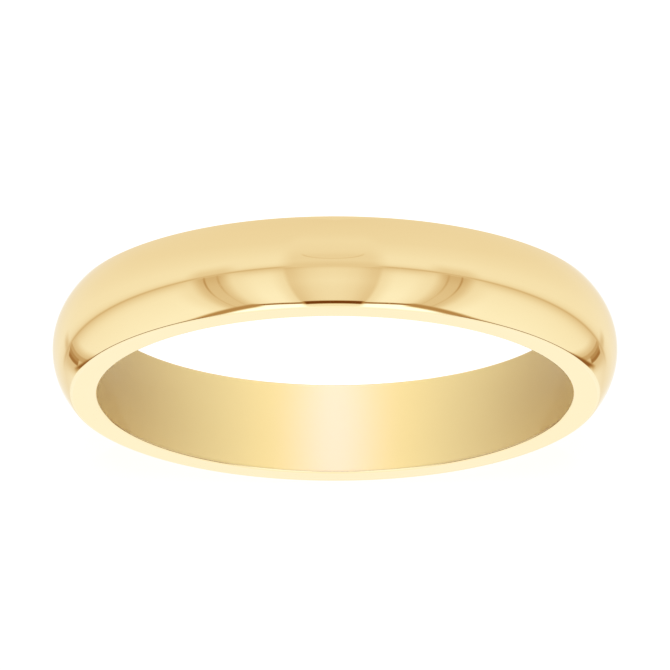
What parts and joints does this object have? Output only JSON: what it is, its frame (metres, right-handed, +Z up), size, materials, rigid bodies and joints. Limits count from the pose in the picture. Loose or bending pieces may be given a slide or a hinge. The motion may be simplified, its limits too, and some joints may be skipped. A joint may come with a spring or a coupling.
{
  "type": "wedding band",
  "caption": "Plain one-piece wedding band of D-shaped section: a round bore for the finger, flat side faces and a polished domed outside.",
  "frame": {"origin": "the middle of the bore: on the finger's axis, halfway between the two side faces", "axes": "+Y along the finger's axis, from the front side face to the back one; +Z up, through the top of the band as it stands on its edge; +X to the right seen from the front"},
  "size_m": [0.0206, 0.0036, 0.0206],
  "materials": {
    "gold": null
  },
  "bodies": {
    "root": {"band": "gold"}
  },
  "joints": []
}
